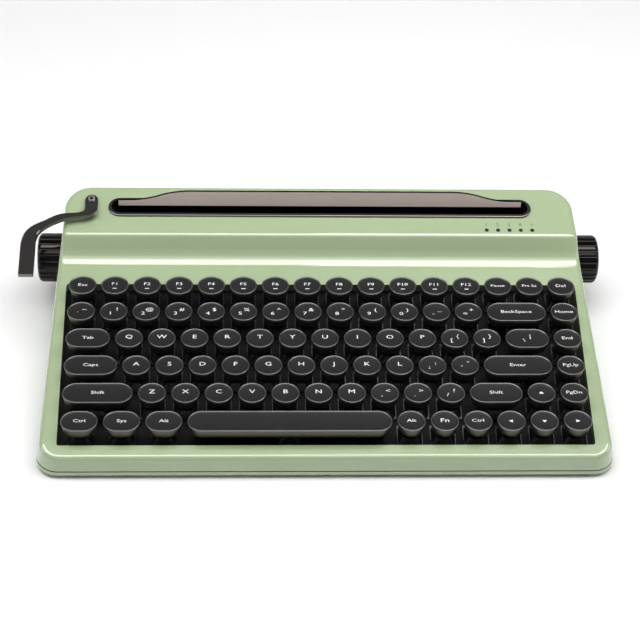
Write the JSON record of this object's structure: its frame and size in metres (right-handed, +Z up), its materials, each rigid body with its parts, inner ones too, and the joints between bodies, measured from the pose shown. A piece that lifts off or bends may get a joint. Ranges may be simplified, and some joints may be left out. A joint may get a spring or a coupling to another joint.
{
  "type": "typewriter-style keyboard",
  "caption": "Typewriter-style desktop keyboard: wedge case with a raised rear hump, tablet slot and rest, side knobs, return lever and round sprung keys.",
  "frame": {"origin": "desk plane below the middle of the object's outline, the lever and knobs included", "axes": "+X to the typist's right, along the longest side; +Y away from the typist; +Z up"},
  "size_m": [0.3538, 0.1861, 0.0761],
  "materials": {
    "case": "glossy sage green moulding",
    "dark_chrome": "dark mirror plating",
    "rest_chrome": "smoked mirror plating",
    "key_black": "satin black key with a grey metal ring",
    "switch_black": "black moulding",
    "inner_black": "black moulding",
    "plate_black": "black coated steel",
    "foot_rubber": "black rubber",
    "screw_steel": "plain steel",
    "board_green": "circuit board",
    "battery_wrap": "wrapped cell",
    "lamp": "dark light pipe"
  },
  "bodies": {
    "case": {"upper_shell": "case", "lower_shell": "case", "rubber_feet": "foot_rubber", "case_screws": "screw_steel", "switch_plate": "plate_black", "circuit_board": "board_green", "switch_housings": "switch_black", "stabiliser_housings": "switch_black", "slot_trim": "dark_chrome", "slot_tray": "inner_black", "paper_rest": "rest_chrome", "light_pipes": "lamp", "indicator_board": "board_green", "encoders": "screw_steel", "lever_spring": "screw_steel", "battery_pack": "battery_wrap", "control_board": "board_green", "usb_socket": "screw_steel"},
    "left_knob": {"left_knob": "dark_chrome", "left_knob_shaft": "screw_steel"},
    "right_knob": {"right_knob": "dark_chrome", "right_knob_shaft": "screw_steel"},
    "lever": {"lever_arm": "dark_chrome", "lever_hub": "dark_chrome", "lever_screw": "screw_steel"},
    "power_switch": {"power_slider": "inner_black"},
    "escape_key": {"escape_key": "key_black"},
    "f1_to_f4_keys": {"f1_to_f4_keys": "key_black"},
    "f5_to_f8_keys": {"f5_to_f8_keys": "key_black"},
    "f9_to_f12_keys": {"f9_to_f12_keys": "key_black"},
    "top_right_keys": {"top_right_keys": "key_black"},
    "left_number_keys": {"left_number_keys": "key_black"},
    "right_number_keys": {"right_number_keys": "key_black"},
    "backspace_key": {"backspace_key": "key_black"},
    "home_key": {"home_key": "key_black"},
    "tab_key": {"tab_key": "key_black"},
    "qwert_keys": {"qwert_keys": "key_black"},
    "yuiop_keys": {"yuiop_keys": "key_black"},
    "backslash_key": {"backslash_key": "key_black"},
    "end_key": {"end_key": "key_black"},
    "caps_lock_key": {"caps_lock_key": "key_black"},
    "asdfg_keys": {"asdfg_keys": "key_black"},
    "hjkl_keys": {"hjkl_keys": "key_black"},
    "enter_key": {"enter_key": "key_black"},
    "page_up_key": {"page_up_key": "key_black"},
    "left_shift_key": {"left_shift_key": "key_black"},
    "zxcvb_keys": {"zxcvb_keys": "key_black"},
    "nm_keys": {"nm_keys": "key_black"},
    "right_shift_key": {"right_shift_key": "key_black"},
    "up_arrow_key": {"up_arrow_key": "key_black"},
    "page_down_key": {"page_down_key": "key_black"},
    "left_control_key": {"left_control_key": "key_black"},
    "system_key": {"system_key": "key_black"},
    "left_alt_key": {"left_alt_key": "key_black"},
    "space_bar": {"space_bar": "key_black"},
    "right_modifier_keys": {"right_modifier_keys": "key_black"},
    "left_arrow_key": {"left_arrow_key": "key_black"},
    "down_arrow_key": {"down_arrow_key": "key_black"},
    "right_arrow_key": {"right_arrow_key": "key_black"}
  },
  "joints": [
    {"name": "left_knob_turn", "type": "hinge", "parent": "case", "child": "left_knob", "pos_m": [-0.15425, 0.06615, 0.0306], "axis": [1, 0, 0], "continuous": true},
    {"name": "right_knob_turn", "type": "hinge", "parent": "case", "child": "right_knob", "pos_m": [0.16135, 0.06615, 0.0306], "axis": [1, 0, 0], "continuous": true},
    {"name": "lever_swing", "type": "hinge", "parent": "case", "child": "lever", "pos_m": [-0.13635, 0.07683, 0.06517], "axis": [0, -0.225, 0.9744], "range_deg": [0, 15], "stiffness_Nm_per_rad": 0.08, "springref_deg": -8.59, "deforming": ["lever_spring"]},
    {"name": "power_switch_slide", "type": "slide", "parent": "case", "child": "power_switch", "axis": [1, 0, 0], "range_m": [0, 0.004]},
    {"name": "escape_key_press", "type": "slide", "parent": "case", "child": "escape_key", "axis": [0, 0.225, -0.9744], "range_m": [0, 0.0036], "stiffness_N_per_m": 80, "springref_m": -0.004},
    {"name": "f1_to_f4_keys_press", "type": "slide", "parent": "case", "child": "f1_to_f4_keys", "axis": [0, 0.225, -0.9744], "range_m": [0, 0.0036], "stiffness_N_per_m": 320, "springref_m": -0.004},
    {"name": "f5_to_f8_keys_press", "type": "slide", "parent": "case", "child": "f5_to_f8_keys", "axis": [0, 0.225, -0.9744], "range_m": [0, 0.0036], "stiffness_N_per_m": 320, "springref_m": -0.004},
    {"name": "f9_to_f12_keys_press", "type": "slide", "parent": "case", "child": "f9_to_f12_keys", "axis": [0, 0.225, -0.9744], "range_m": [0, 0.0036], "stiffness_N_per_m": 320, "springref_m": -0.004},
    {"name": "top_right_keys_press", "type": "slide", "parent": "case", "child": "top_right_keys", "axis": [0, 0.225, -0.9744], "range_m": [0, 0.0036], "stiffness_N_per_m": 240, "springref_m": -0.004},
    {"name": "left_number_keys_press", "type": "slide", "parent": "case", "child": "left_number_keys", "axis": [0, 0.225, -0.9744], "range_m": [0, 0.0036], "stiffness_N_per_m": 480, "springref_m": -0.004},
    {"name": "right_number_keys_press", "type": "slide", "parent": "case", "child": "right_number_keys", "axis": [0, 0.225, -0.9744], "range_m": [0, 0.0036], "stiffness_N_per_m": 560, "springref_m": -0.004},
    {"name": "backspace_key_press", "type": "slide", "parent": "case", "child": "backspace_key", "axis": [0, 0.225, -0.9744], "range_m": [0, 0.0036], "stiffness_N_per_m": 80, "springref_m": -0.004},
    {"name": "home_key_press", "type": "slide", "parent": "case", "child": "home_key", "axis": [0, 0.225, -0.9744], "range_m": [0, 0.0036], "stiffness_N_per_m": 80, "springref_m": -0.004},
    {"name": "tab_key_press", "type": "slide", "parent": "case", "child": "tab_key", "axis": [0, 0.225, -0.9744], "range_m": [0, 0.0036], "stiffness_N_per_m": 80, "springref_m": -0.004},
    {"name": "qwert_keys_press", "type": "slide", "parent": "case", "child": "qwert_keys", "axis": [0, 0.225, -0.9744], "range_m": [0, 0.0036], "stiffness_N_per_m": 400, "springref_m": -0.004},
    {"name": "yuiop_keys_press", "type": "slide", "parent": "case", "child": "yuiop_keys", "axis": [0, 0.225, -0.9744], "range_m": [0, 0.0036], "stiffness_N_per_m": 560, "springref_m": -0.004},
    {"name": "backslash_key_press", "type": "slide", "parent": "case", "child": "backslash_key", "axis": [0, 0.225, -0.9744], "range_m": [0, 0.0036], "stiffness_N_per_m": 80, "springref_m": -0.004},
    {"name": "end_key_press", "type": "slide", "parent": "case", "child": "end_key", "axis": [0, 0.225, -0.9744], "range_m": [0, 0.0036], "stiffness_N_per_m": 80, "springref_m": -0.004},
    {"name": "caps_lock_key_press", "type": "slide", "parent": "case", "child": "caps_lock_key", "axis": [0, 0.225, -0.9744], "range_m": [0, 0.0036], "stiffness_N_per_m": 80, "springref_m": -0.004},
    {"name": "asdfg_keys_press", "type": "slide", "parent": "case", "child": "asdfg_keys", "axis": [0, 0.225, -0.9744], "range_m": [0, 0.0036], "stiffness_N_per_m": 400, "springref_m": -0.004},
    {"name": "hjkl_keys_press", "type": "slide", "parent": "case", "child": "hjkl_keys", "axis": [0, 0.225, -0.9744], "range_m": [0, 0.0036], "stiffness_N_per_m": 480, "springref_m": -0.004},
    {"name": "enter_key_press", "type": "slide", "parent": "case", "child": "enter_key", "axis": [0, 0.225, -0.9744], "range_m": [0, 0.0036], "stiffness_N_per_m": 80, "springref_m": -0.004},
    {"name": "page_up_key_press", "type": "slide", "parent": "case", "child": "page_up_key", "axis": [0, 0.225, -0.9744], "range_m": [0, 0.0036], "stiffness_N_per_m": 80, "springref_m": -0.004},
    {"name": "left_shift_key_press", "type": "slide", "parent": "case", "child": "left_shift_key", "axis": [0, 0.225, -0.9744], "range_m": [0, 0.0036], "stiffness_N_per_m": 80, "springref_m": -0.004},
    {"name": "zxcvb_keys_press", "type": "slide", "parent": "case", "child": "zxcvb_keys", "axis": [0, 0.225, -0.9744], "range_m": [0, 0.0036], "stiffness_N_per_m": 400, "springref_m": -0.004},
    {"name": "nm_keys_press", "type": "slide", "parent": "case", "child": "nm_keys", "axis": [0, 0.225, -0.9744], "range_m": [0, 0.0036], "stiffness_N_per_m": 400, "springref_m": -0.004},
    {"name": "right_shift_key_press", "type": "slide", "parent": "case", "child": "right_shift_key", "axis": [0, 0.225, -0.9744], "range_m": [0, 0.0036], "stiffness_N_per_m": 80, "springref_m": -0.004},
    {"name": "up_arrow_key_press", "type": "slide", "parent": "case", "child": "up_arrow_key", "axis": [0, 0.225, -0.9744], "range_m": [0, 0.0036], "stiffness_N_per_m": 80, "springref_m": -0.004},
    {"name": "page_down_key_press", "type": "slide", "parent": "case", "child": "page_down_key", "axis": [0, 0.225, -0.9744], "range_m": [0, 0.0036], "stiffness_N_per_m": 80, "springref_m": -0.004},
    {"name": "left_control_key_press", "type": "slide", "parent": "case", "child": "left_control_key", "axis": [0, 0.225, -0.9744], "range_m": [0, 0.0036], "stiffness_N_per_m": 80, "springref_m": -0.004},
    {"name": "system_key_press", "type": "slide", "parent": "case", "child": "system_key", "axis": [0, 0.225, -0.9744], "range_m": [0, 0.0036], "stiffness_N_per_m": 80, "springref_m": -0.004},
    {"name": "left_alt_key_press", "type": "slide", "parent": "case", "child": "left_alt_key", "axis": [0, 0.225, -0.9744], "range_m": [0, 0.0036], "stiffness_N_per_m": 80, "springref_m": -0.004},
    {"name": "space_bar_press", "type": "slide", "parent": "case", "child": "space_bar", "axis": [0, 0.225, -0.9744], "range_m": [0, 0.0036], "stiffness_N_per_m": 80, "springref_m": -0.004},
    {"name": "right_modifier_keys_press", "type": "slide", "parent": "case", "child": "right_modifier_keys", "axis": [0, 0.225, -0.9744], "range_m": [0, 0.0036], "stiffness_N_per_m": 240, "springref_m": -0.004},
    {"name": "left_arrow_key_press", "type": "slide", "parent": "case", "child": "left_arrow_key", "axis": [0, 0.225, -0.9744], "range_m": [0, 0.0036], "stiffness_N_per_m": 80, "springref_m": -0.004},
    {"name": "down_arrow_key_press", "type": "slide", "parent": "case", "child": "down_arrow_key", "axis": [0, 0.225, -0.9744], "range_m": [0, 0.0036], "stiffness_N_per_m": 80, "springref_m": -0.004},
    {"name": "right_arrow_key_press", "type": "slide", "parent": "case", "child": "right_arrow_key", "axis": [0, 0.225, -0.9744], "range_m": [0, 0.0036], "stiffness_N_per_m": 80, "springref_m": -0.004}
  ]
}
